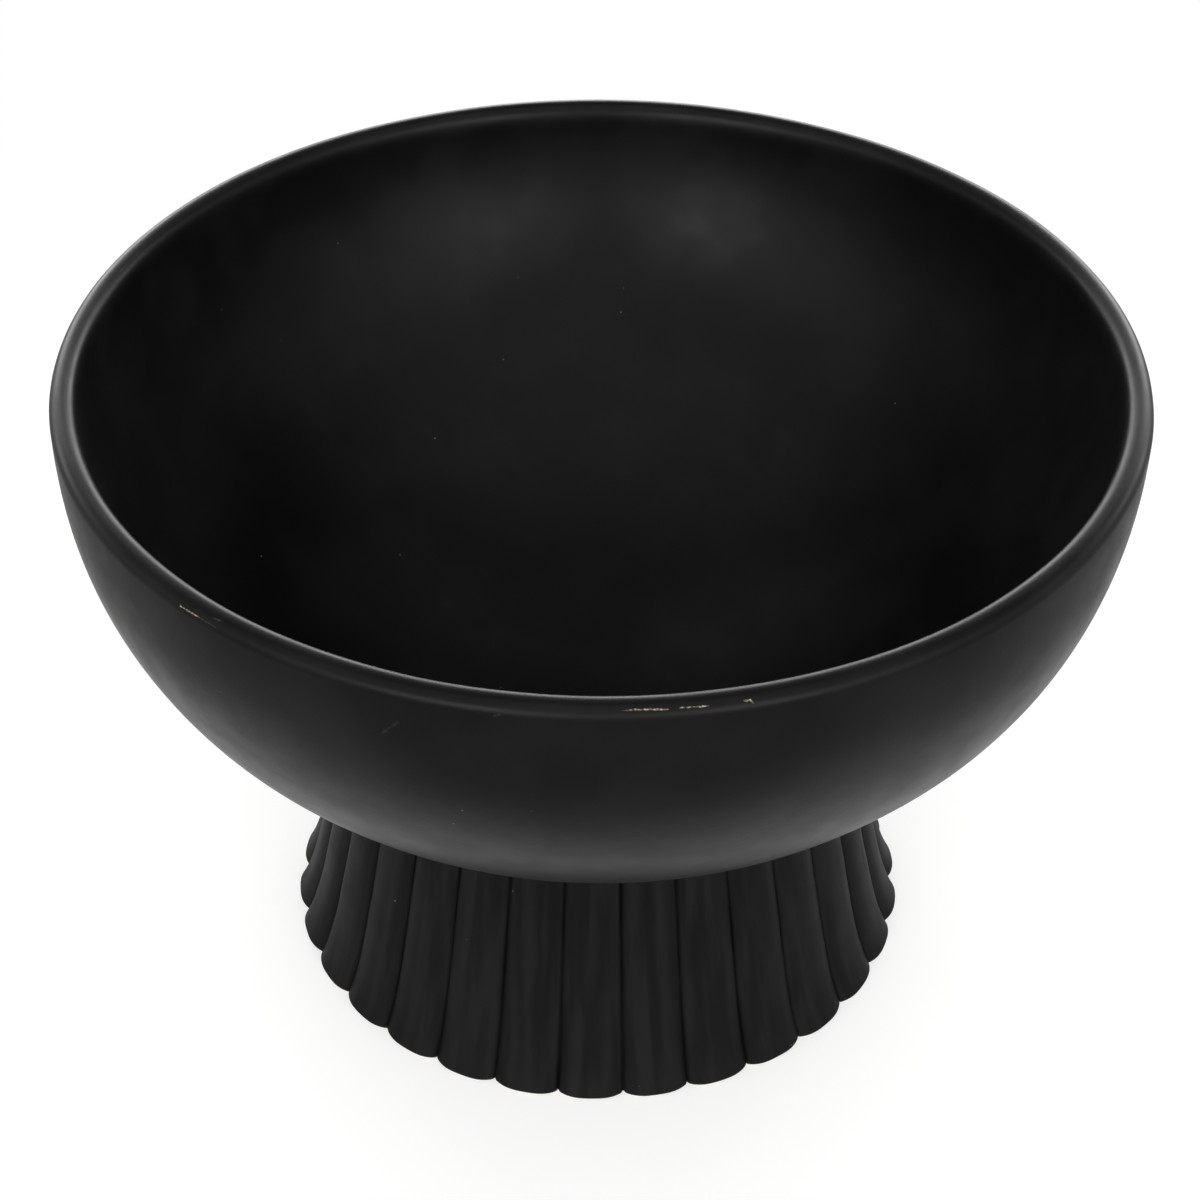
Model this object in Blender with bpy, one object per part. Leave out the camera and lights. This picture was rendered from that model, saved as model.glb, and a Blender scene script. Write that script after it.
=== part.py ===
"""Footed pottery bowl: a deep round bowl on a hollow foot of thirty upright lobes.

The bowl and the foot are cast apart and joined with a ring of slip before firing.
Sizes are in metres, +Z is up, and the origin is on the table below the bowl's axis.
"""
import math

import bmesh
import bpy

# Bowl
RIM_RADIUS = 0.140          # outside of the bowl at its widest line
BOWL_DEPTH = 0.1174         # lowest point of the bowl up to the middle of its lip
BOWL_LIFT = 0.0640          # table up to the lowest point of the bowl
BELLY_FULLNESS = 2.30       # 2 is an ellipse, more makes the belly fuller
LIP_THICKNESS = 0.0072      # wall at the lip, which is rounded all over
FLOOR_THICKNESS = 0.0085    # wall at the middle of the bowl

# Foot
FOOT_BASE_RADIUS = 0.0858   # lobe crests at the table, without the flare
FOOT_NECK_RADIUS = 0.0700   # lobe crests where the foot meets the bowl
FOOT_WALL = 0.0075          # from the bottom of a groove to the hollow
FLARE = 0.0036              # how far the lowest part kicks out
FLARE_HEIGHT = 0.0080       # height over which most of the flare is lost
EDGE_ROUND = 0.0018         # rounding of the scalloped lower edge
INNER_EDGE_ROUND = 0.0010   # bevel where the hollow meets the table
LOBES = 30
LOBE_RELIEF = 0.0023        # crest of a lobe above the grooves beside it

# Slip joint
SLIP_THICKNESS = 0.0012     # slip between the foot's top edge and the bowl
SLIP_FILLET = 0.0040        # slip wiped into the corner inside the hollow
SLIP_BEAD = 0.0008          # slip standing out past the lobe crests
SEAM_GAP = 0.0003           # clearance between pieces that touch

# Fineness of the faceted surfaces
TURNED_STEPS = 96
WALL_SEGMENTS = 13
LIP_SEGMENTS = 6
LOBE_SEGMENTS = 8
EDGE_SEGMENTS = 4
SLIP_SEGMENTS = 2
FILLET_SEGMENTS = 2
FLARE_STATIONS = (0.04, 0.12, 0.25, 0.45, 0.70)     # shares of the foot's height, closer where it curves

# Heights that follow from the sizes above
LIP_RADIUS = LIP_THICKNESS / 2
LIP_HEIGHT = BOWL_LIFT + BOWL_DEPTH
SEAT_DROP = SLIP_THICKNESS + 2 * SEAM_GAP

# Finish
BLACK_GLAZE = (0.011, 0.011, 0.012, 1.0)
BOWL_ROUGHNESS = 0.38
FOOT_ROUGHNESS = 0.45
SLIP_ROUGHNESS = 0.50
SHARP_ANGLE = math.radians(40)      # steeper edges than this are drawn crisp


def clear_scene():
    for old in list(bpy.data.objects):
        bpy.data.objects.remove(old, do_unlink=True)


def glazed_clay(name, roughness):
    """Satin black glaze: colour and sheen only, no metal."""
    material = bpy.data.materials.new(name)
    material.use_nodes = True
    shader = material.node_tree.nodes["Principled BSDF"]
    shader.inputs["Base Color"].default_value = BLACK_GLAZE
    shader.inputs["Roughness"].default_value = roughness
    shader.inputs["Metallic"].default_value = 0.0
    return material


def add_piece(name, mesh, material):
    mesh.materials.append(material)
    piece = bpy.data.objects.new(name, mesh)
    bpy.context.scene.collection.objects.link(piece)
    return piece


def turned_piece(name, outline, closed, material):
    """Turns an outline of (radius, height) points about the upright axis."""
    points = [(radius, 0.0, height) for radius, height in outline]
    edges = [(i, i + 1) for i in range(len(points) - 1)]
    if closed:
        edges.append((len(points) - 1, 0))
    mesh = bpy.data.meshes.new(name)
    mesh.from_pydata(points, edges, [])
    piece = add_piece(name, mesh, material)
    screw = piece.modifiers.new("turned", 'SCREW')
    screw.axis = 'Z'
    screw.angle = 2 * math.pi
    screw.steps = TURNED_STEPS
    screw.render_steps = TURNED_STEPS
    screw.use_merge_vertices = True
    screw.merge_threshold = 0.0001
    screw.use_smooth_shade = True
    return piece


def belly_point(angle, radius, depth):
    """Point on a full-bellied curve: the lip is at angle 0, the axis at a quarter turn."""
    drop = depth * math.sin(angle) ** (2 / BELLY_FULLNESS)
    return radius * math.cos(angle), LIP_HEIGHT - drop


def underside_height(radius):
    """Height of the bowl's outer surface at a distance from its axis."""
    share = 1 - (radius / RIM_RADIUS) ** 2
    return LIP_HEIGHT - BOWL_DEPTH * share ** (1 / BELLY_FULLNESS)


def lip_point(angle):
    """Point on the round lip: angle 0 is outside, a half turn is inside."""
    radius = RIM_RADIUS - LIP_RADIUS + LIP_RADIUS * math.cos(angle)
    return radius, LIP_HEIGHT + LIP_RADIUS * math.sin(angle)


def make_bowl():
    """Up the inside wall from the axis, over the lip, and down the outside to the axis."""
    down = [math.pi / 2 * i / WALL_SEGMENTS for i in range(1, WALL_SEGMENTS)]
    over = [math.pi * i / LIP_SEGMENTS for i in range(LIP_SEGMENTS + 1)]
    outline = [(0.0, BOWL_LIFT + FLOOR_THICKNESS)]
    for angle in reversed(down):
        outline.append(belly_point(angle, RIM_RADIUS - LIP_THICKNESS, BOWL_DEPTH - FLOOR_THICKNESS))
    for angle in reversed(over):
        outline.append(lip_point(angle))
    for angle in down:
        outline.append(belly_point(angle, RIM_RADIUS, BOWL_DEPTH))
    outline.append((0.0, BOWL_LIFT))
    return turned_piece("bowl", outline, False, glazed_clay("bowl_glaze", BOWL_ROUGHNESS))


def seat_height(radius):
    """Top edge of the foot: the bowl's own curve, lower by the slip and its clearances."""
    return underside_height(radius) - SEAT_DROP


def straight_taper(height):
    """Lobe crests without the flare, from the table to the seat."""
    share = height / seat_height(FOOT_NECK_RADIUS)
    return FOOT_BASE_RADIUS + (FOOT_NECK_RADIUS - FOOT_BASE_RADIUS) * share


def crest_radius(height):
    """Lobe crests with the flare, which fades away upwards."""
    fade = math.exp(-height / FLARE_HEIGHT)
    return straight_taper(height) + FLARE * fade


def hollow_radius(height):
    """Inside of the foot: the straight taper, one wall thickness inside the grooves."""
    return straight_taper(height) - LOBE_RELIEF - FOOT_WALL


def hollow_top_radius():
    """Where the hollow's wall runs into the seat, found by closing in on it."""
    radius = FOOT_NECK_RADIUS
    for _ in range(12):
        radius = hollow_radius(seat_height(radius))
    return radius


def groove_depth(lobe_position):
    """Depth below the crests: each lobe is an even swell, and two lobes meet in a sharp groove."""
    across = 2 * (lobe_position % 1.0) - 1
    return LOBE_RELIEF * across * across


def foot_loop(bm, crest, height=None, lobed=True):
    """Points of one level round the foot. With no height given they follow the seat."""
    count = LOBES * LOBE_SEGMENTS
    points = []
    for i in range(count):
        radius = crest
        if lobed:
            radius -= groove_depth(i / LOBE_SEGMENTS)
        level = seat_height(radius) if height is None else height
        turn = 2 * math.pi * i / count
        points.append(bm.verts.new((radius * math.cos(turn), radius * math.sin(turn), level)))
    return points


def hollow_loops(bm):
    """Plain round loops: the inside wall's top, its bevelled foot, and the table."""
    return [
        foot_loop(bm, hollow_top_radius(), lobed=False),
        foot_loop(bm, hollow_radius(INNER_EDGE_ROUND), INNER_EDGE_ROUND, lobed=False),
        foot_loop(bm, hollow_radius(0) + INNER_EDGE_ROUND, 0.0, lobed=False),
    ]


def lobed_loops(bm):
    """Scalloped loops round the lower edge and up the flared outside to the seat."""
    loops = []
    for i in range(EDGE_SEGMENTS + 1):
        angle = math.pi / 2 * i / EDGE_SEGMENTS
        height = EDGE_ROUND * (1 - math.cos(angle))
        inset = EDGE_ROUND * (1 - math.sin(angle))
        loops.append(foot_loop(bm, crest_radius(height) - inset, height))
    rise = seat_height(FOOT_NECK_RADIUS) - EDGE_ROUND
    for share in FLARE_STATIONS:
        height = EDGE_ROUND + rise * share
        loops.append(foot_loop(bm, crest_radius(height), height))
    loops.append(foot_loop(bm, FOOT_NECK_RADIUS))
    return loops


def make_foot():
    """Joins each loop to the next and the last to the first, so hollow, edge and lobes are one wall."""
    bm = bmesh.new()
    loops = hollow_loops(bm) + lobed_loops(bm)
    for i, loop in enumerate(loops):
        before = loops[i - 1]
        for j in range(len(loop)):
            bm.faces.new((before[j - 1], before[j], loop[j], loop[j - 1]))
    bmesh.ops.recalc_face_normals(bm, faces=bm.faces)
    mesh = bpy.data.meshes.new("fluted_foot")
    bm.to_mesh(mesh)
    bm.free()
    mesh.shade_smooth()
    mesh.set_sharp_from_angle(angle=SHARP_ANGLE)
    return add_piece("fluted_foot", mesh, glazed_clay("foot_glaze", FOOT_ROUGHNESS))


def make_slip_joint():
    """Ring of slip: a layer over the foot's top edge, and a fillet wiped into the hollow's corner."""
    wall_side = hollow_top_radius() - SEAM_GAP
    bead = FOOT_NECK_RADIUS + SLIP_BEAD
    layer_end = bead - SLIP_THICKNESS / 2
    top = []
    bottom = []
    for i in range(SLIP_SEGMENTS + 1):
        radius = wall_side + (layer_end - wall_side) * i / SLIP_SEGMENTS
        height = underside_height(radius) - SEAM_GAP
        top.append((radius, height))
        bottom.append((radius, height - SLIP_THICKNESS))
    bead_tip = (bead, underside_height(bead) - SEAM_GAP - SLIP_THICKNESS / 2)

    fillet_foot = bottom[0][1] - SLIP_FILLET
    fillet = [(hollow_radius(fillet_foot) - SEAM_GAP, fillet_foot)]
    for i in range(1, FILLET_SEGMENTS):
        angle = math.pi / 2 * i / FILLET_SEGMENTS
        radius = wall_side - SLIP_FILLET * (1 - math.cos(angle))
        fillet.append((radius, fillet_foot + SLIP_FILLET * math.sin(angle)))
    fillet_head = wall_side - SLIP_FILLET
    fillet.append((fillet_head, underside_height(fillet_head) - SEAM_GAP))

    outline = top + [bead_tip] + bottom[::-1] + fillet
    return turned_piece("slip_joint", outline, True, glazed_clay("joint_glaze", SLIP_ROUGHNESS))


def main():
    clear_scene()
    make_bowl()
    make_foot()
    make_slip_joint()


main()
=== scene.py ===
"""Looks of the footed pottery bowl: a turned bowl, a foot of thirty upright lobes, and the ring of
slip that joins them, all under one satin black glaze.

Sizes are in metres and +Z is up, as in the frame. Azimuths turn about +Z from +X, so -90 degrees is
the side that faces the photograph's viewer.
"""
import math

import bmesh
import bpy
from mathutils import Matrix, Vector


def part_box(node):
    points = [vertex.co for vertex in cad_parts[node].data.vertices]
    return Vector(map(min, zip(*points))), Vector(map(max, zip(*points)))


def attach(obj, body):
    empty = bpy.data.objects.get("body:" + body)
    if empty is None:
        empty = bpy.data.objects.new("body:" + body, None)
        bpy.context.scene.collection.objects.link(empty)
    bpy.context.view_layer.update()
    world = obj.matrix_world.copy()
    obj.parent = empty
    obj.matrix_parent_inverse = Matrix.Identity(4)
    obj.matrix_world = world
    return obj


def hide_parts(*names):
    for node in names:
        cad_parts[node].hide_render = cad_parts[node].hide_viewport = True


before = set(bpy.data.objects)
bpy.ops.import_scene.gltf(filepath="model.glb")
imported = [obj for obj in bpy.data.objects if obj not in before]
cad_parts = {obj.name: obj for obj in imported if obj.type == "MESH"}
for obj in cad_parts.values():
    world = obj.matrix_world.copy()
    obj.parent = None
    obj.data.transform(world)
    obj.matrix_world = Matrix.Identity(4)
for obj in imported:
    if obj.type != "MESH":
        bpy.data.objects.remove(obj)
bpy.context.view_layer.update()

MM = 0.001

# Sizes that the frame gives
bowl_low, bowl_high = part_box("bowl")
foot_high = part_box("fluted_foot")[1]
RIM_RADIUS = bowl_high[0]
BOWL_TOP = bowl_high[2]
BOWL_LIFT = bowl_low[2]
FOOT_TOP = foot_high[2]

# Bowl
LIP_THICKNESS = 7.2 * MM
FLOOR_THICKNESS = 8.5 * MM
BELLY_FULLNESS = 2.30           # 2 is an ellipse, more makes the belly fuller
INSIDE_FULLNESS = 1.70          # the wall thickens below the lip, so the inside slopes in sooner
INNER_LIP_DROP = 3.0 * MM       # how much further the lip's rounding runs down inside than outside
LIP_RADIUS = LIP_THICKNESS / 2
LIP_HEIGHT = BOWL_TOP - LIP_RADIUS
BOWL_DEPTH = LIP_HEIGHT - BOWL_LIFT
WALL_POINTS = 64                # along the wall, from the axis to the lip
LIP_POINTS = 20
TURNED_STEPS = 240
SHARP_DEGREES = 60              # steeper edges than this are drawn crisp, on every piece
WELD_DISTANCE = 0.01 * MM
WOBBLE_HEIGHT = 0.35 * MM       # unevenness left by turning and dipping
WOBBLE_WIDTH = 45 * MM
FOOT_WOBBLE_HEIGHT = 0.30 * MM
FOOT_WOBBLE_WIDTH = 16 * MM

# Foot
LOBES = 30
FOOT_BASE_RADIUS = 85.8 * MM    # lobe crests at the table, without the flare
FOOT_NECK_RADIUS = 70.0 * MM
FOOT_WALL = 7.5 * MM
FLARE = 3.6 * MM
FLARE_HEIGHT = 8.0 * MM
EDGE_ROUND = 1.8 * MM           # rounding of the scalloped lower edge
INNER_EDGE_ROUND = 1.0 * MM
LOBE_RELIEF = 2.3 * MM          # crest of a lobe above the grooves beside it
LOBE_FLATNESS = 3.0             # 2 is an even swell, more makes the crest flatter
SLIT_DEPTH = 0.5 * MM           # narrow slit at the bottom of a groove
SLIT_HALF_WIDTH = 0.32 * MM
SLIT_STEEPNESS = 4              # how fast the slit's sides rise
LOBE_POINTS = 14                # over half a lobe
LOBE_CROWDING = 1.8             # more than 1 sets those points closer towards the groove
FOOT_LEVELS = 40
LEVEL_CROWDING = 1.5            # more than 1 sets the levels closer towards the table
EDGE_LEVELS = 6
INNER_EDGE_LEVELS = 3
HOLLOW_LEVELS = 8
LEVEL_TOLERANCE = 0.001 * MM
CLOSING_STEPS = 12              # enough to find where the hollow meets the seat

# Slip joint
SLIP_THICKNESS = 1.2 * MM
SLIP_FILLET = 4.0 * MM          # inside the hollow
OUTER_FILLET = 1.5 * MM         # outside, where the lobes run into the bowl
SLIP_SKIN = 0.06 * MM           # how thin the slip runs out on the lobes
SEAM_GAP = 0.3 * MM
FILLET_LEVELS = 8
FILLET_ROUNDING = 0.35          # how far each level of the outer fillet leaves the lobes for a circle
SEAT_LEVELS = 4


def deselect_all():
    bpy.ops.object.select_all(action='DESELECT')


def draw_line(name, points):
    """A new piece that is one open line: a tiny plane merged to a point, then drawn out point by point."""
    deselect_all()
    bpy.ops.mesh.primitive_plane_add(size=MM, location=points[0])
    piece = bpy.context.object
    piece.name = name
    piece.data.name = name
    bpy.ops.object.transform_apply(location=True, rotation=True, scale=True)
    bpy.ops.object.mode_set(mode='EDIT')
    bpy.ops.mesh.select_mode(type='VERT')
    bpy.ops.mesh.select_all(action='SELECT')
    bpy.ops.mesh.merge(type='CENTER')
    for before, after in zip(points, points[1:]):
        step = Vector(after) - Vector(before)
        bpy.ops.mesh.extrude_region_move(TRANSFORM_OT_translate={"value": step})
    return piece


def close_up():
    """Merges what touches, turns the faces outwards, and shades the piece smooth up to an angle."""
    bpy.ops.mesh.select_all(action='SELECT')
    bpy.ops.mesh.remove_doubles(threshold=WELD_DISTANCE)
    bpy.ops.mesh.normals_make_consistent(inside=False)
    bpy.ops.object.mode_set(mode='OBJECT')
    bpy.ops.object.shade_smooth_by_angle(angle=math.radians(SHARP_DEGREES))


def belly_point(angle, radius, top, bottom, fullness):
    """Point on a full-bellied curve: the lip is at angle 0, the axis at a quarter turn."""
    drop = (top - bottom) * math.sin(angle) ** (2 / fullness)
    return Vector((radius * math.cos(angle), 0, top - drop))


def underside_height(radius):
    """Height of the bowl's outer surface at a distance from its axis."""
    share = 1 - (radius / RIM_RADIUS) ** 2
    return LIP_HEIGHT - BOWL_DEPTH * share ** (1 / BELLY_FULLNESS)


def make_bowl():
    """Draws half a section, from the inside of the floor over the lip to the underside, and turns it."""
    down = [math.pi / 2 * i / WALL_POINTS for i in range(1, WALL_POINTS)]
    over = [math.pi * i / LIP_POINTS for i in range(LIP_POINTS + 1)]
    floor = BOWL_LIFT + FLOOR_THICKNESS
    wall_top = LIP_HEIGHT - INNER_LIP_DROP
    section = [Vector((0, 0, floor))]
    for angle in reversed(down):
        section.append(belly_point(angle, RIM_RADIUS - LIP_THICKNESS, wall_top, floor, INSIDE_FULLNESS))
    for angle in reversed(over):
        reach = RIM_RADIUS - LIP_RADIUS + LIP_RADIUS * math.cos(angle)
        sink = INNER_LIP_DROP * (1 - math.sin(angle)) ** 2 if angle > math.pi / 2 else 0
        section.append(Vector((reach, 0, LIP_HEIGHT + LIP_RADIUS * math.sin(angle) - sink)))
    for angle in down:
        section.append(belly_point(angle, RIM_RADIUS, LIP_HEIGHT, BOWL_LIFT, BELLY_FULLNESS))
    section.append(Vector((0, 0, BOWL_LIFT)))
    piece = draw_line("glazed_bowl", section)
    bpy.ops.mesh.select_all(action='SELECT')
    bpy.ops.mesh.spin(steps=TURNED_STEPS, angle=2 * math.pi, center=(0, 0, 0), axis=(0, 0, 1))
    close_up()
    wobble_surface(piece, WOBBLE_WIDTH, WOBBLE_HEIGHT)
    return piece


def wobble_surface(piece, width, height):
    """Gives a smooth surface the faint unevenness of handwork, which breaks up its reflections."""
    clouds = bpy.data.textures.new(piece.name + "_wobble", 'CLOUDS')
    clouds.noise_scale = width
    clouds.noise_depth = 1
    wobble = piece.modifiers.new("wobble", 'DISPLACE')
    wobble.texture = clouds
    wobble.texture_coords = 'LOCAL'
    wobble.strength = height
    wobble.mid_level = 0.5
    bpy.ops.object.modifier_apply(modifier=wobble.name)


def straight_taper(height):
    """Lobe crests without the flare."""
    share = height / FOOT_TOP
    return FOOT_BASE_RADIUS + (FOOT_NECK_RADIUS - FOOT_BASE_RADIUS) * share


def crest_radius(height):
    """Lobe crests with the flare, which fades away upwards."""
    return straight_taper(height) + FLARE * math.exp(-height / FLARE_HEIGHT)


def hollow_radius(height):
    """Inside of the foot, one wall thickness inside the grooves."""
    return straight_taper(height) - LOBE_RELIEF - FOOT_WALL


def lobe_line(crest, height):
    """One lobe seen from above, from the middle of one groove to the middle of the next."""
    half_angle = math.pi / LOBES
    half_width = crest * half_angle
    half = []
    for i in range(LOBE_POINTS + 1):
        share = (i / LOBE_POINTS) ** LOBE_CROWDING
        from_groove = half_width * share
        slit = SLIT_DEPTH / (1 + (from_groove / SLIT_HALF_WIDTH) ** SLIT_STEEPNESS)
        half.append((half_angle * share, crest - LOBE_RELIEF * (1 - share) ** LOBE_FLATNESS - slit))
    outline = half + [(2 * half_angle - angle, radius) for angle, radius in reversed(half[:-1])]
    return [Vector((radius * math.cos(turn), radius * math.sin(turn), height)) for turn, radius in outline]


def chosen_points(piece):
    return [point.co for point in bmesh.from_edit_mesh(piece.data).verts if point.select]


def scale_to(piece, radius):
    """Scales what is chosen about the upright axis until its widest point lies at that radius."""
    widest = max(math.hypot(point.x, point.y) for point in chosen_points(piece))
    share = radius / widest
    bpy.ops.transform.resize(value=(share, share, 1), center_override=(0, 0, 0))


def extrude_to(piece, radius, height, roundness=0.0):
    """Draws the chosen edges out to another height and radius. Roundness 1 makes the new loop a circle."""
    rise = height - chosen_points(piece)[0].z
    bpy.ops.mesh.extrude_region_move(TRANSFORM_OT_translate={"value": (0, 0, rise)})
    if roundness > 0:
        bpy.ops.transform.tosphere(value=roundness)
    scale_to(piece, radius)


def choose_level(piece, height):
    """Chooses the points at one height."""
    bpy.ops.mesh.select_all(action='DESELECT')
    form = bmesh.from_edit_mesh(piece.data)
    for point in form.verts:
        point.select = abs(point.co.z - height) < LEVEL_TOLERANCE
    form.select_flush(True)
    bmesh.update_edit_mesh(piece.data)


def repeat_lobes(piece):
    """Copies one lobe round the axis and welds the copies at their grooves."""
    pitch = 2 * math.pi / LOBES
    bpy.ops.mesh.select_all(action='SELECT')
    bpy.ops.mesh.spin(steps=LOBES - 1, dupli=True, angle=pitch * (LOBES - 1), center=(0, 0, 0),
                      axis=(0, 0, 1))
    bpy.ops.mesh.select_all(action='SELECT')
    bpy.ops.mesh.remove_doubles(threshold=WELD_DISTANCE)


def join_open_edges():
    """Bridges the two loops that are still open."""
    bpy.ops.mesh.select_all(action='DESELECT')
    bpy.ops.mesh.select_non_manifold(extend=False, use_wire=False, use_boundary=True,
                                     use_multi_face=False, use_non_contiguous=False, use_verts=False)
    bpy.ops.mesh.bridge_edge_loops()


def hollow_top():
    """Radius and height at which the hollow's wall meets the underside of the seat."""
    radius = FOOT_NECK_RADIUS
    for _ in range(CLOSING_STEPS):
        height = underside_height(radius) - SLIP_THICKNESS - 2 * SEAM_GAP
        radius = hollow_radius(height)
    return radius, height


def lobe_seat_height():
    """Top of the lobes: level, and clear of the bowl even at the grooves."""
    return underside_height(FOOT_NECK_RADIUS - LOBE_RELIEF) - SLIP_THICKNESS - 2 * SEAM_GAP


def make_foot():
    """Draws one lobe, raises it level by level, repeats it, then turns the lower edge under."""
    piece = draw_line("fluted_foot_glazed", lobe_line(crest_radius(EDGE_ROUND), EDGE_ROUND))
    bpy.ops.mesh.select_all(action='SELECT')
    seat = lobe_seat_height()
    for i in range(1, FOOT_LEVELS + 1):
        height = EDGE_ROUND + (seat - EDGE_ROUND) * (i / FOOT_LEVELS) ** LEVEL_CROWDING
        extrude_to(piece, crest_radius(height), height)
    repeat_lobes(piece)

    choose_level(piece, EDGE_ROUND)
    edge = crest_radius(EDGE_ROUND)
    for i in range(1, EDGE_LEVELS + 1):
        angle = math.pi / 2 * i / EDGE_LEVELS
        extrude_to(piece, edge - EDGE_ROUND * (1 - math.cos(angle)), EDGE_ROUND * (1 - math.sin(angle)))
    ring = hollow_radius(0) + INNER_EDGE_ROUND
    extrude_to(piece, ring, 0.0, roundness=1.0)
    for i in range(1, INNER_EDGE_LEVELS + 1):
        angle = math.pi / 2 * i / INNER_EDGE_LEVELS
        inset = INNER_EDGE_ROUND * math.sin(angle)
        extrude_to(piece, ring - inset, INNER_EDGE_ROUND * (1 - math.cos(angle)))
    top_height = hollow_top()[1]
    for i in range(1, HOLLOW_LEVELS + 1):
        height = INNER_EDGE_ROUND + (top_height - INNER_EDGE_ROUND) * i / HOLLOW_LEVELS
        extrude_to(piece, hollow_radius(height), height)
    join_open_edges()
    close_up()
    wobble_surface(piece, FOOT_WOBBLE_WIDTH, FOOT_WOBBLE_HEIGHT)
    return piece


def curve_through(start, corner, end, steps):
    """Points of a hollow curve from start to end that bends towards a corner, without the first."""
    points = []
    for i in range(1, steps + 1):
        t = i / steps
        points.append(start * (1 - t) ** 2 + corner * 2 * t * (1 - t) + end * t ** 2)
    return points


def make_slip_joint():
    """A ring of slip: wiped hollow against the lobes outside and against the wall inside."""
    seat = lobe_seat_height()
    top_line = lobe_line(crest_radius(seat), seat + SEAM_GAP)
    piece = draw_line("wiped_slip_joint", top_line)
    bpy.ops.mesh.select_all(action='SELECT')
    tip_height = seat - OUTER_FILLET
    tip_radius = crest_radius(tip_height) + SLIP_SKIN
    extrude_to(piece, tip_radius, tip_height)
    repeat_lobes(piece)

    choose_level(piece, tip_height)
    tip = Vector((tip_radius, tip_height))
    corner = Vector((FOOT_NECK_RADIUS, underside_height(FOOT_NECK_RADIUS)))
    spread = FOOT_NECK_RADIUS + OUTER_FILLET
    spread_end = Vector((spread, underside_height(spread) - SLIP_SKIN))
    for radius, height in curve_through(tip, corner, spread_end, FILLET_LEVELS):
        extrude_to(piece, radius, height, roundness=FILLET_ROUNDING)
    bpy.ops.transform.tosphere(value=1.0)
    scale_to(piece, spread)

    wall_radius, wall_height = hollow_top()
    wall_radius -= SEAM_GAP
    head_radius = wall_radius - SLIP_FILLET
    for i in range(1, SEAT_LEVELS + 1):
        radius = spread + (head_radius - spread) * i / SEAT_LEVELS
        extrude_to(piece, radius, underside_height(radius) - SLIP_SKIN)
    head = Vector((head_radius, underside_height(head_radius) - SLIP_SKIN))
    inner_corner = Vector((wall_radius, underside_height(wall_radius)))
    foot_height = wall_height - SLIP_FILLET
    fillet_foot = Vector((hollow_radius(foot_height) - SLIP_SKIN, foot_height))
    for radius, height in curve_through(head, inner_corner, fillet_foot, FILLET_LEVELS):
        extrude_to(piece, radius, height)
    extrude_to(piece, wall_radius + SEAM_GAP - SLIP_SKIN, wall_height + SEAM_GAP)
    join_open_edges()
    close_up()
    return piece


def linear(hex_colour):
    """The linear colour of an sRGB hex value."""
    levels = [int(hex_colour[i:i + 2], 16) / 255 for i in (1, 3, 5)]
    parts = [level / 12.92 if level <= 0.04045 else ((level + 0.055) / 1.055) ** 2.4 for level in levels]
    return (*parts, 1.0)


def add_node(tree, kind, inputs, **settings):
    """Adds one node. Settings are its own options, and each input is a value or another node's output."""
    made = tree.nodes.new(kind)
    for name, value in settings.items():
        setattr(made, name, value)
    for name, value in inputs.items():
        if isinstance(value, bpy.types.NodeSocket):
            tree.links.new(value, made.inputs[name])
        else:
            made.inputs[name].default_value = value
    return made


def new_material(name):
    material = bpy.data.materials.new(name)
    material.use_nodes = True
    material.node_tree.nodes.clear()
    return material, material.node_tree


# Colours of the glaze and of what shows on it
GLAZE_BLACK = "#0a0a0b"
GLAZE_THIN = "#101010"          # where it lies thinner
RIB_BLACK = "#0a0a0b"
RIB_THIN = "#171717"            # in the upright streaks
SCUFF_GREY = "#5c5a54"
CLAY_CREAM = "#b4aa90"          # the body, where the glaze is worn through
CLAY_BUFF = "#c6b596"           # the body under the foot, fired bare
CLAY_SHADE = "#a8926f"
DUST = "#8d8b86"

# How they shine
GLAZE_IOR = 1.5
GLAZE_SHEEN = 0.125             # specular level: a matt glaze gives back less than a clear one
FOOT_SHEEN = 0.08
GLAZE_ROUGHNESS = (0.35, 0.40)  # from one cloudy patch to the next
STREAK_ROUGHNESS = (0.27, 0.34)
MOTTLE_ROUGHNESS = (0.24, 0.29)     # on the foot it is added to that of the streaks
WORN_ROUGHNESS = 0.7
CLAY_ROUGHNESS = 0.85

# Values of noise between which a pattern goes from one look to the other
NOISE_SPAN = (0.30, 0.70)       # most of the noise
THIN_SPAN = (0.40, 0.65)
RIB_THIN_SPAN = (0.35, 0.68)
CLAY_SPAN = (0.35, 0.70)
DASH_SPAN = (0.42, 0.60)

# Sizes of the patterns
THIN_PATCH = 26 * MM
CLOUD = 9 * MM
PEEL = 1.4 * MM
PEEL_DEPTH = 0.02 * MM
STREAK = 3.4 * MM
STREAK_REACH = 78 * MM          # middle of the lobes, to which the streaks' pattern is pushed out
STREAK_SQUEEZE = 0.10           # a tenth of the height, so a streak is ten times longer than it is wide
STREAK_RELIEF = 5.0             # a streak stands out this many times as far as the grain
MOTTLE = 7 * MM
GRAIN = 1.0 * MM
GRAIN_DEPTH = 0.022 * MM
CLAY_GRAIN = 1.1 * MM
BARE_EDGE = (0.6 * MM, 0.3 * MM)    # the glaze ends between these heights
BARE_WAVE = 5 * MM              # the line where it ends rises and falls about as often as this
BARE_SWING = 0.5 * MM
DUST_SPACING = 13 * MM
DUST_SIZE = (0.026, 0.014)      # shares of that spacing between which a speck fades in
DUST_STRENGTH = 0.35
SCRAPE_SIDE = (0.75, 0.25)      # shares of its width between which a scrape's side fades in
RAGGED = 0.7 * MM               # length of the bites at a scrape's sides
RAGGED_SHARE = 0.35             # how deep they go, as a share of its width
DASH = 0.6 * MM
DASH_LOW = 0.3                  # share of a scrape's strength that is left between the dashes

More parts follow.
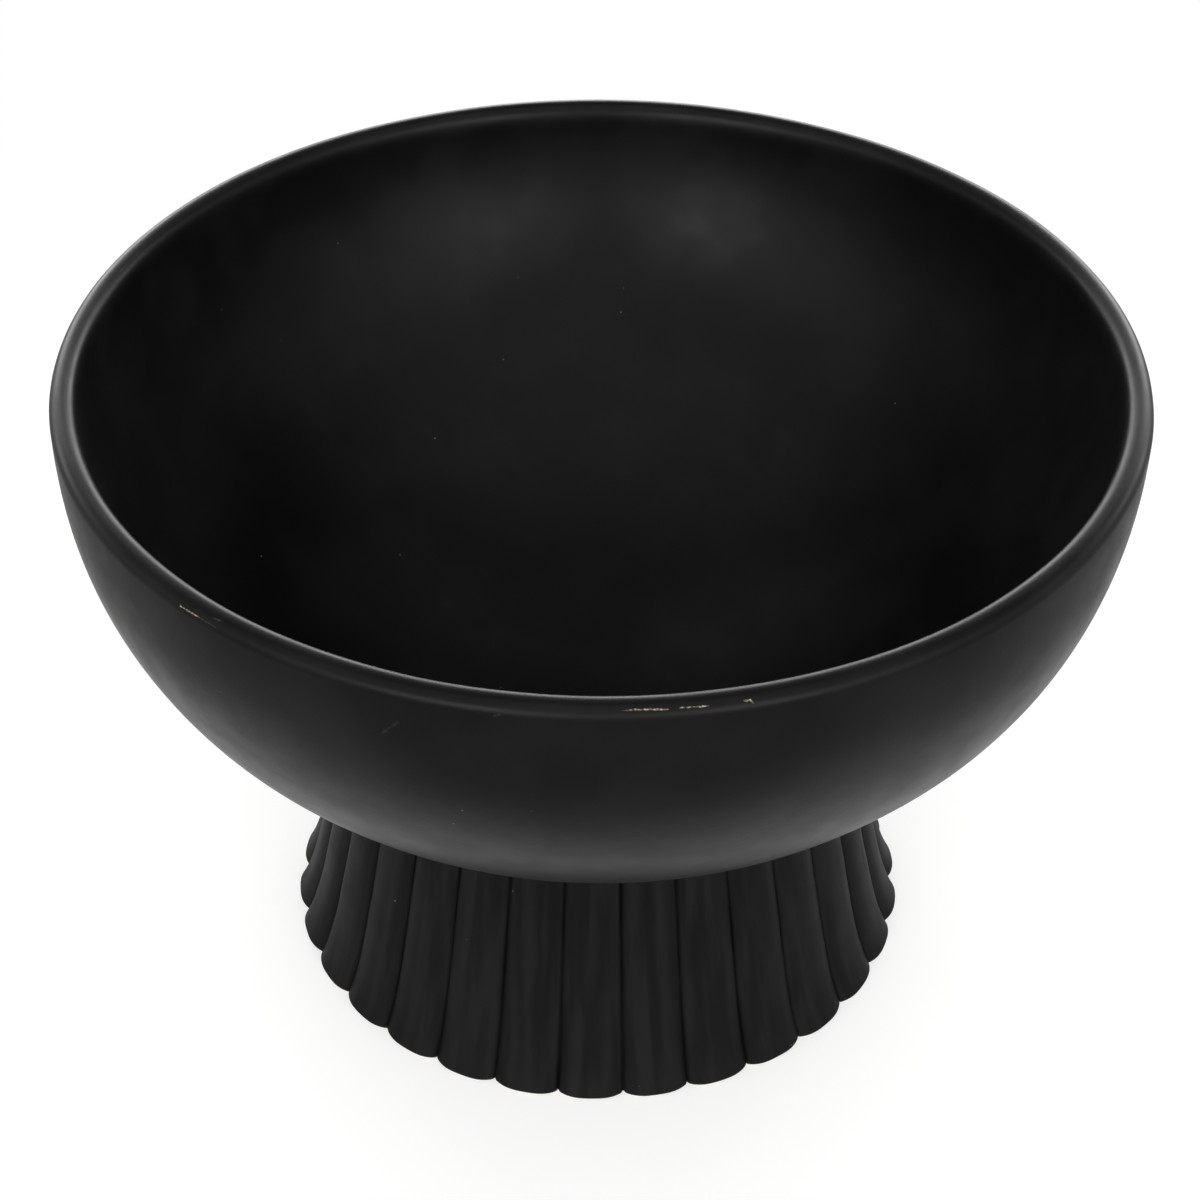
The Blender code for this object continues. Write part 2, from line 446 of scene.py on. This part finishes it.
# Worn marks on the bowl, in millimetres: start, end, width, strength, colour
BOWL_MARKS = (
    ((7.8, -138.7, 184.0), (10.4, -138.4, 184.1), 0.26, 0.35, CLAY_CREAM),
    ((10.4, -138.4, 184.1), (17.3, -137.9, 183.9), 0.32, 0.78, CLAY_CREAM),
    ((20.1, -137.4, 184.0), (26.2, -136.5, 183.9), 0.30, 0.68, CLAY_CREAM),
    ((34.1, -134.7, 184.0), (35.3, -134.4, 184.0), 0.36, 0.55, CLAY_CREAM),
    ((35.3, -134.4, 184.0), (35.9, -134.6, 183.5), 0.32, 0.55, CLAY_CREAM),
    ((-93.1, -104.1, 182.9), (-88.3, -108.2, 183.0), 0.30, 0.85, CLAY_CREAM),
    ((-88.0, -108.4, 183.0), (-84.1, -111.5, 182.9), 0.30, 0.30, SCUFF_GREY),
    ((-85.2, -109.6, 184.2), (-82.8, -111.0, 184.3), 0.34, 0.30, SCUFF_GREY),
    ((-45.4, -132.1, 170.4), (-41.6, -133.6, 175.0), 0.60, 0.13, SCUFF_GREY),
    ((-86.0, -109.2, 162.5), (-83.8, -110.9, 163.1), 0.40, 0.20, SCUFF_GREY),
    ((-20.1, -138.5, 181.6), (-18.8, -138.6, 182.3), 0.40, 0.20, SCUFF_GREY),
    ((-129.9, 36.6, 184.4), (-127.9, 41.0, 184.6), 0.35, 0.45, SCUFF_GREY),
)
FOOT_MARKS = (
    ((-61.2, -43.6, 52.4), (-59.6, -45.6, 52.6), 0.50, 0.40, SCUFF_GREY),
    ((-61.4, -43.6, 52.3), (-61.7, -44.2, 50.0), 0.50, 0.45, SCUFF_GREY),
)


def worn_line(tree, place, start, end, width, strength):
    """A broken line between two points of the surface, as a scrape leaves it."""
    start = Vector(start) * MM
    along = Vector(end) * MM - start
    width = width * MM
    offset = add_node(tree, "ShaderNodeVectorMath", {0: place, 1: start},
                      operation='SUBTRACT').outputs["Vector"]
    run = add_node(tree, "ShaderNodeVectorMath", {0: offset, 1: along.normalized()},
                   operation='DOT_PRODUCT').outputs["Value"]
    kept = add_node(tree, "ShaderNodeClamp",
                    {"Value": run, "Min": 0.0, "Max": along.length}).outputs["Result"]
    nearest = add_node(tree, "ShaderNodeVectorMath", {0: along.normalized(), "Scale": kept},
                       operation='SCALE').outputs["Vector"]
    apart = add_node(tree, "ShaderNodeVectorMath", {0: offset, 1: nearest},
                     operation='DISTANCE').outputs["Value"]

    bites = add_node(tree, "ShaderNodeTexNoise", {"Vector": place, "Scale": 1 / RAGGED, "Detail": 3.0})
    ragged = add_node(tree, "ShaderNodeMapRange",
                      {"Value": bites.outputs["Fac"], "From Min": NOISE_SPAN[0], "From Max": NOISE_SPAN[1],
                       "To Min": -RAGGED_SHARE * width, "To Max": RAGGED_SHARE * width},
                      interpolation_type='SMOOTHSTEP').outputs["Result"]
    reach = add_node(tree, "ShaderNodeMath", {0: apart, 1: ragged}, operation='ADD').outputs["Value"]
    line = add_node(tree, "ShaderNodeMapRange",
                    {"Value": reach, "From Min": SCRAPE_SIDE[0] * width, "From Max": SCRAPE_SIDE[1] * width},
                    interpolation_type='SMOOTHSTEP').outputs["Result"]

    breaks = add_node(tree, "ShaderNodeTexNoise", {"Vector": place, "Scale": 1 / DASH, "Detail": 2.0})
    dashes = add_node(tree, "ShaderNodeMapRange",
                      {"Value": breaks.outputs["Fac"], "From Min": DASH_SPAN[0], "From Max": DASH_SPAN[1],
                       "To Min": DASH_LOW * strength, "To Max": strength},
                      interpolation_type='SMOOTHSTEP').outputs["Result"]
    return add_node(tree, "ShaderNodeMath", {0: line, 1: dashes}, operation='MULTIPLY').outputs["Value"]


def wear(tree, place, colour, marks):
    """Lays the worn marks over the glaze's colour. Gives the new colour and where the marks are."""
    worn = 0.0
    for start, end, width, strength, tint in marks:
        share = worn_line(tree, place, start, end, width, strength)
        colour = add_node(tree, "ShaderNodeMix", {"Factor": share, 6: colour, 7: linear(tint)},
                          data_type='RGBA').outputs[2]
        worn = add_node(tree, "ShaderNodeMath", {0: worn, 1: share}, operation='MAXIMUM').outputs["Value"]
    return colour, worn


def dust(tree, place, colour):
    """Lays a few specks of dust over a colour, one where a cell's centre happens to lie on the surface."""
    cells = add_node(tree, "ShaderNodeTexVoronoi", {"Vector": place, "Scale": 1 / DUST_SPACING})
    specks = add_node(tree, "ShaderNodeMapRange",
                      {"Value": cells.outputs["Distance"], "From Min": DUST_SIZE[0],
                       "From Max": DUST_SIZE[1], "To Max": DUST_STRENGTH},
                      interpolation_type='SMOOTHSTEP').outputs["Result"]
    return add_node(tree, "ShaderNodeMix", {"Factor": specks, 6: colour, 7: linear(DUST)},
                    data_type='RGBA').outputs[2]


def glaze_shader(tree, colour, rough, sheen, height, depth):
    """Ends the material in one glossy surface with a bump of that depth."""
    bump = add_node(tree, "ShaderNodeBump", {"Strength": 1.0, "Distance": depth, "Height": height})
    shader = add_node(tree, "ShaderNodeBsdfPrincipled",
                      {"Base Color": colour, "Roughness": rough, "IOR": GLAZE_IOR,
                       "Specular IOR Level": sheen, "Normal": bump.outputs["Normal"]})
    add_node(tree, "ShaderNodeOutputMaterial", {"Surface": shader.outputs["BSDF"]})


def satin_black_glaze():
    """Matt black stoneware glaze, dipped and fired. It gives a soft sheen that brightens at a glancing
    angle, a fine orange peel, cloudy patches where it lies thinner, and cream scrapes at the lip."""
    material, tree = new_material("satin_black_glaze")
    place = add_node(tree, "ShaderNodeTexCoord", {}).outputs["Object"]
    patches = add_node(tree, "ShaderNodeTexNoise", {"Vector": place, "Scale": 1 / THIN_PATCH, "Detail": 3.0})
    thin = add_node(tree, "ShaderNodeMapRange",
                    {"Value": patches.outputs["Fac"], "From Min": THIN_SPAN[0], "From Max": THIN_SPAN[1]},
                    interpolation_type='SMOOTHSTEP').outputs["Result"]
    colour = add_node(tree, "ShaderNodeMix", {"Factor": thin, 6: linear(GLAZE_BLACK), 7: linear(GLAZE_THIN)},
                      data_type='RGBA').outputs[2]
    colour, worn = wear(tree, place, colour, BOWL_MARKS)
    colour = dust(tree, place, colour)

    clouds = add_node(tree, "ShaderNodeTexNoise", {"Vector": place, "Scale": 1 / CLOUD, "Detail": 3.0})
    cloudy = add_node(tree, "ShaderNodeMapRange",
                      {"Value": clouds.outputs["Fac"], "From Min": NOISE_SPAN[0], "From Max": NOISE_SPAN[1],
                       "To Min": GLAZE_ROUGHNESS[0], "To Max": GLAZE_ROUGHNESS[1]},
                      interpolation_type='SMOOTHSTEP').outputs["Result"]
    dull = add_node(tree, "ShaderNodeMath", {0: worn, 1: WORN_ROUGHNESS},
                    operation='MULTIPLY').outputs["Value"]
    rough = add_node(tree, "ShaderNodeMath", {0: cloudy, 1: dull}, operation='MAXIMUM').outputs["Value"]
    peel = add_node(tree, "ShaderNodeTexNoise", {"Vector": place, "Scale": 1 / PEEL, "Detail": 2.0})
    glaze_shader(tree, colour, rough, GLAZE_SHEEN, peel.outputs["Fac"], PEEL_DEPTH)
    return material


def upright_place(tree, place):
    """The place pushed out to one radius and flattened, so that noise on it runs in upright streaks."""
    level = add_node(tree, "ShaderNodeVectorMath", {0: place, 1: (1, 1, 0)},
                     operation='MULTIPLY').outputs["Vector"]
    way = add_node(tree, "ShaderNodeVectorMath", {0: level}, operation='NORMALIZE').outputs["Vector"]
    flattened = add_node(tree, "ShaderNodeVectorMath", {0: place, 1: (0, 0, STREAK_SQUEEZE)},
                         operation='MULTIPLY').outputs["Vector"]
    return add_node(tree, "ShaderNodeVectorMath", {0: way, 1: (STREAK_REACH,) * 3, 2: flattened},
                    operation='MULTIPLY_ADD').outputs["Vector"]


def bare_ring(tree, place):
    """1 where the glaze was wiped off under the foot, along a wavy line."""
    height = add_node(tree, "ShaderNodeSeparateXYZ", {"Vector": place}).outputs["Z"]
    wave = add_node(tree, "ShaderNodeTexNoise", {"Vector": place, "Scale": 1 / BARE_WAVE, "Detail": 2.0})
    swing = add_node(tree, "ShaderNodeMapRange",
                     {"Value": wave.outputs["Fac"], "From Min": NOISE_SPAN[0], "From Max": NOISE_SPAN[1],
                      "To Min": -BARE_SWING, "To Max": BARE_SWING},
                     interpolation_type='SMOOTHSTEP').outputs["Result"]
    edge = add_node(tree, "ShaderNodeMath", {0: height, 1: swing}, operation='ADD').outputs["Value"]
    return add_node(tree, "ShaderNodeMapRange",
                    {"Value": edge, "From Min": BARE_EDGE[0], "From Max": BARE_EDGE[1]},
                    interpolation_type='SMOOTHSTEP').outputs["Result"]


def bare_clay(tree, place):
    """Buff clay, fired without glaze: pale, dry and faintly speckled."""
    specks = add_node(tree, "ShaderNodeTexNoise", {"Vector": place, "Scale": 1 / CLAY_GRAIN, "Detail": 4.0})
    share = add_node(tree, "ShaderNodeMapRange",
                     {"Value": specks.outputs["Fac"], "From Min": CLAY_SPAN[0], "From Max": CLAY_SPAN[1]},
                     interpolation_type='SMOOTHSTEP').outputs["Result"]
    return add_node(tree, "ShaderNodeMix", {"Factor": share, 6: linear(CLAY_BUFF), 7: linear(CLAY_SHADE)},
                    data_type='RGBA').outputs[2]


def ribbed_black_glaze(name, marks):
    """The same glaze over the lobes. It ran down them while it melted, which leaves upright streaks and a
    mottled sheen, and it was wiped off under the foot, where the bare buff clay shows."""
    material, tree = new_material(name)
    place = add_node(tree, "ShaderNodeTexCoord", {}).outputs["Object"]
    upright = upright_place(tree, place)
    streaks = add_node(tree, "ShaderNodeTexNoise",
                       {"Vector": upright, "Scale": 1 / STREAK, "Detail": 3.0}).outputs["Fac"]
    thin = add_node(tree, "ShaderNodeMapRange",
                    {"Value": streaks, "From Min": RIB_THIN_SPAN[0], "From Max": RIB_THIN_SPAN[1]},
                    interpolation_type='SMOOTHSTEP').outputs["Result"]
    colour = add_node(tree, "ShaderNodeMix", {"Factor": thin, 6: linear(RIB_BLACK), 7: linear(RIB_THIN)},
                      data_type='RGBA').outputs[2]
    colour, worn = wear(tree, place, colour, marks)
    colour = dust(tree, place, colour)
    bare = bare_ring(tree, place)
    colour = add_node(tree, "ShaderNodeMix", {"Factor": bare, 6: colour, 7: bare_clay(tree, place)},
                      data_type='RGBA').outputs[2]

    patches = add_node(tree, "ShaderNodeTexNoise", {"Vector": place, "Scale": 1 / MOTTLE, "Detail": 3.0})
    mottled = add_node(tree, "ShaderNodeMapRange",
                       {"Value": patches.outputs["Fac"], "From Min": NOISE_SPAN[0], "From Max": NOISE_SPAN[1],
                        "To Min": MOTTLE_ROUGHNESS[0], "To Max": MOTTLE_ROUGHNESS[1]},
                       interpolation_type='SMOOTHSTEP').outputs["Result"]
    streaky = add_node(tree, "ShaderNodeMapRange",
                       {"Value": streaks, "From Min": NOISE_SPAN[0], "From Max": NOISE_SPAN[1],
                        "To Min": STREAK_ROUGHNESS[0], "To Max": STREAK_ROUGHNESS[1]},
                       interpolation_type='SMOOTHSTEP').outputs["Result"]
    rough = add_node(tree, "ShaderNodeMath", {0: streaky, 1: mottled}, operation='ADD').outputs["Value"]
    for share, dullest in ((worn, WORN_ROUGHNESS), (bare, CLAY_ROUGHNESS)):
        dull = add_node(tree, "ShaderNodeMath", {0: share, 1: dullest},
                        operation='MULTIPLY').outputs["Value"]
        rough = add_node(tree, "ShaderNodeMath", {0: rough, 1: dull}, operation='MAXIMUM').outputs["Value"]

    grain = add_node(tree, "ShaderNodeTexNoise", {"Vector": place, "Scale": 1 / GRAIN, "Detail": 3.0})
    relief = add_node(tree, "ShaderNodeMath",
                      {0: streaks, 1: STREAK_RELIEF, 2: grain.outputs["Fac"]},
                      operation='MULTIPLY_ADD').outputs["Value"]
    glaze_shader(tree, colour, rough, FOOT_SHEEN, relief, GRAIN_DEPTH)
    return material


def dress(piece, material, node):
    piece.data.materials.clear()
    piece.data.materials.append(material)
    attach(piece, "root")
    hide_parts(node)


FLOOR_SIZE = 8.0
FLOOR_GREY = "#bcbbba"
FLOOR_LIFT = 0.61               # what the eye and mirrors see on top of the lit grey, so that it is white
SHEET_FRONT = (0.13, 0.19)      # the lift fades out between these distances in front of the bowl
SHEET_SIDE = (0.19, 0.25)       # and between these to the sides
SHEET_SPREAD = 0.19             # how much wider the sheet gets with each metre behind the bowl
OPEN_FLOOR = (0.15, 0.45)       # between these, behind the bowl, the floor turns into the white sweep


def seen_rays(tree):
    """1 for what the camera, a mirror or glass sees, 0 for light on its way."""
    path = add_node(tree, "ShaderNodeLightPath", {})
    total = path.outputs["Is Camera Ray"]
    for name in ("Is Glossy Ray", "Is Transmission Ray"):
        total = add_node(tree, "ShaderNodeMath", {0: total, 1: path.outputs[name]},
                         operation='ADD', use_clamp=True).outputs["Value"]
    return total


def make_floor():
    """A pale grey floor that keeps the bowl's shadow. The white sheet under the bowl is the part of it
    whose look is lifted to white, for the camera and for what mirrors. It widens towards the back and
    turns into plain white there."""
    deselect_all()
    bpy.ops.mesh.primitive_plane_add(size=FLOOR_SIZE)
    floor = bpy.context.object
    floor.name = "floor"
    material, tree = new_material("pale_studio_floor")
    place = add_node(tree, "ShaderNodeTexCoord", {}).outputs["Object"]
    axes = add_node(tree, "ShaderNodeSeparateXYZ", {"Vector": place})
    back = axes.outputs["Y"]
    aside = add_node(tree, "ShaderNodeMath", {0: axes.outputs["X"]}, operation='ABSOLUTE').outputs["Value"]
    ahead = add_node(tree, "ShaderNodeMath", {0: back, 1: -1.0}, operation='MULTIPLY').outputs["Value"]
    wider = add_node(tree, "ShaderNodeMath", {0: back, 1: SHEET_SPREAD},
                     operation='MULTIPLY').outputs["Value"]
    across = add_node(tree, "ShaderNodeMath", {0: aside, 1: wider}, operation='SUBTRACT').outputs["Value"]

    on_sheet = add_node(tree, "ShaderNodeMapRange",
                        {"Value": across, "From Min": SHEET_SIDE[1], "From Max": SHEET_SIDE[0]},
                        interpolation_type='SMOOTHSTEP').outputs["Result"]
    seen = add_node(tree, "ShaderNodeMath", {0: seen_rays(tree), 1: on_sheet},
                    operation='MULTIPLY').outputs["Value"]
    far = add_node(tree, "ShaderNodeMapRange",
                   {"Value": back, "From Min": OPEN_FLOOR[0], "From Max": OPEN_FLOOR[1]},
                   interpolation_type='SMOOTHSTEP').outputs["Result"]
    open_share = add_node(tree, "ShaderNodeMath", {0: seen, 1: far}, operation='MULTIPLY').outputs["Value"]
    near_lift = add_node(tree, "ShaderNodeMapRange",
                         {"Value": ahead, "From Min": SHEET_FRONT[1], "From Max": SHEET_FRONT[0],
                          "To Max": FLOOR_LIFT},
                         interpolation_type='SMOOTHSTEP').outputs["Result"]
    lift = add_node(tree, "ShaderNodeMath", {0: seen, 1: near_lift}, operation='MULTIPLY').outputs["Value"]

    lit = add_node(tree, "ShaderNodeBsdfDiffuse", {"Color": linear(FLOOR_GREY)}).outputs["BSDF"]
    glow = add_node(tree, "ShaderNodeEmission", {"Strength": lift}).outputs["Emission"]
    sheet = add_node(tree, "ShaderNodeAddShader", {0: lit, 1: glow}).outputs["Shader"]
    white = add_node(tree, "ShaderNodeEmission", {"Strength": 1.0}).outputs["Emission"]
    mixed = add_node(tree, "ShaderNodeMixShader", {0: open_share, 1: sheet, 2: white}).outputs["Shader"]
    add_node(tree, "ShaderNodeOutputMaterial", {"Surface": mixed})
    floor.data.materials.append(material)


PLAIN_WHITE = (1, 1, 1, 1)
STUDIO_FILL = 0.02              # even light from all round
SWEEP_TOP = (0.20, 0.45)        # sine of the elevations between which the white sweep ends
SOFT_LIGHTS = (
    # azimuth and elevation of the middle, full within, dark beyond, all in degrees, and the strength
    (-165, 16, 6, 24, 0.64),
    (-138, 14, 6, 24, 1.60),
    (-112, 11, 5, 18, 7.20),
    (-65, 11, 6, 20, 5.00),
    (-41, 14, 6, 24, 1.90),
    (-13, 16, 6, 24, 0.68),
    (-175, 40, 8, 28, 0.38),
    (-147, 40, 8, 28, 0.34),
    (-118, 40, 8, 28, 0.34),
    (-89, 40, 8, 28, 0.55),
    (-60, 40, 8, 28, 0.34),
    (-31, 40, 8, 28, 0.34),
    (-3, 40, 8, 28, 0.26),
    (-160, 64, 8, 28, 0.51),
    (-113, 64, 8, 28, 0.51),
    (-67, 64, 8, 28, 0.42),
    (-20, 64, 8, 28, 0.59),
    (90, 88, 8, 26, 0.26),
    (60, 48, 6, 24, 0.55),
    (120, 48, 6, 24, 0.81),
    (38, 9, 4, 15, 4.60),
    (64, 11, 5, 18, 8.00),
    (90, 12, 5, 18, 8.00),
    (116, 11, 5, 18, 8.00),
    (142, 9, 4, 15, 4.60),
)


def direction(azimuth, elevation):
    turn = math.radians(azimuth)
    lift = math.radians(elevation)
    return Vector((math.cos(lift) * math.cos(turn), math.cos(lift) * math.sin(turn), math.sin(lift)))


def make_world():
    """A studio of large round softboxes whose edges fade, and a white sweep all round, higher than the
    camera ever looks."""
    world = bpy.data.worlds.new("studio")
    world.use_nodes = True
    tree = world.node_tree
    tree.nodes.clear()
    place = add_node(tree, "ShaderNodeTexCoord", {}).outputs["Generated"]
    light = STUDIO_FILL
    for azimuth, elevation, full, dark, strength in SOFT_LIGHTS:
        nearness = add_node(tree, "ShaderNodeVectorMath", {0: place, 1: direction(azimuth, elevation)},
                            operation='DOT_PRODUCT').outputs["Value"]
        softbox = add_node(tree, "ShaderNodeMapRange",
                           {"Value": nearness, "From Min": math.cos(math.radians(dark)),
                            "From Max": math.cos(math.radians(full)), "To Max": strength},
                           interpolation_type='SMOOTHSTEP').outputs["Result"]
        light = add_node(tree, "ShaderNodeMath", {0: light, 1: softbox}, operation='ADD').outputs["Value"]

    height = add_node(tree, "ShaderNodeSeparateXYZ", {"Vector": place}).outputs["Z"]
    low = add_node(tree, "ShaderNodeMapRange",
                   {"Value": height, "From Min": SWEEP_TOP[1], "From Max": SWEEP_TOP[0]},
                   interpolation_type='SMOOTHSTEP').outputs["Result"]
    sweep = add_node(tree, "ShaderNodeMath", {0: seen_rays(tree), 1: low},
                     operation='MULTIPLY').outputs["Value"]
    level = add_node(tree, "ShaderNodeMath", {0: light, 1: sweep}, operation='MAXIMUM').outputs["Value"]
    lit = add_node(tree, "ShaderNodeBackground", {"Color": PLAIN_WHITE, "Strength": level})
    white = add_node(tree, "ShaderNodeBackground", {"Color": PLAIN_WHITE, "Strength": 1.0})
    path = add_node(tree, "ShaderNodeLightPath", {})
    mixed = add_node(tree, "ShaderNodeMixShader",
                     {0: path.outputs["Is Camera Ray"], 1: lit.outputs["Background"],
                      2: white.outputs["Background"]})
    add_node(tree, "ShaderNodeOutputWorld", {"Surface": mixed.outputs["Shader"]})
    bpy.context.scene.world = world


CAMERA_AZIMUTH = -88.9
CAMERA_REACH = 0.5785           # across the table from the bowl's axis
CAMERA_HEIGHT = 0.5617
CAMERA_TILT_DOWN = 38.31
CAMERA_ROLL = 0.40
CAMERA_LENS = 80.6              # millimetres, on a sensor as wide as the next value
CAMERA_SENSOR = 36.0
CAMERA_CLIP = 10 * MM


def make_camera():
    turn = math.radians(CAMERA_AZIMUTH)
    place = (CAMERA_REACH * math.cos(turn), CAMERA_REACH * math.sin(turn), CAMERA_HEIGHT)
    aim = (math.radians(90 - CAMERA_TILT_DOWN), 0, turn + math.pi / 2)
    bpy.ops.object.camera_add(location=place, rotation=aim)
    camera = bpy.context.object
    camera.rotation_euler.rotate_axis('Z', math.radians(CAMERA_ROLL))
    camera.data.lens = CAMERA_LENS
    camera.data.sensor_width = CAMERA_SENSOR
    camera.data.clip_start = CAMERA_CLIP
    bpy.context.scene.camera = camera


def main():
    make_camera()
    make_floor()
    make_world()
    dress(make_bowl(), satin_black_glaze(), "bowl")
    dress(make_foot(), ribbed_black_glaze("ribbed_black_glaze", FOOT_MARKS), "fluted_foot")
    dress(make_slip_joint(), ribbed_black_glaze("glazed_slip", ()), "slip_joint")
    bpy.context.scene.view_settings.view_transform = 'Standard'


main()
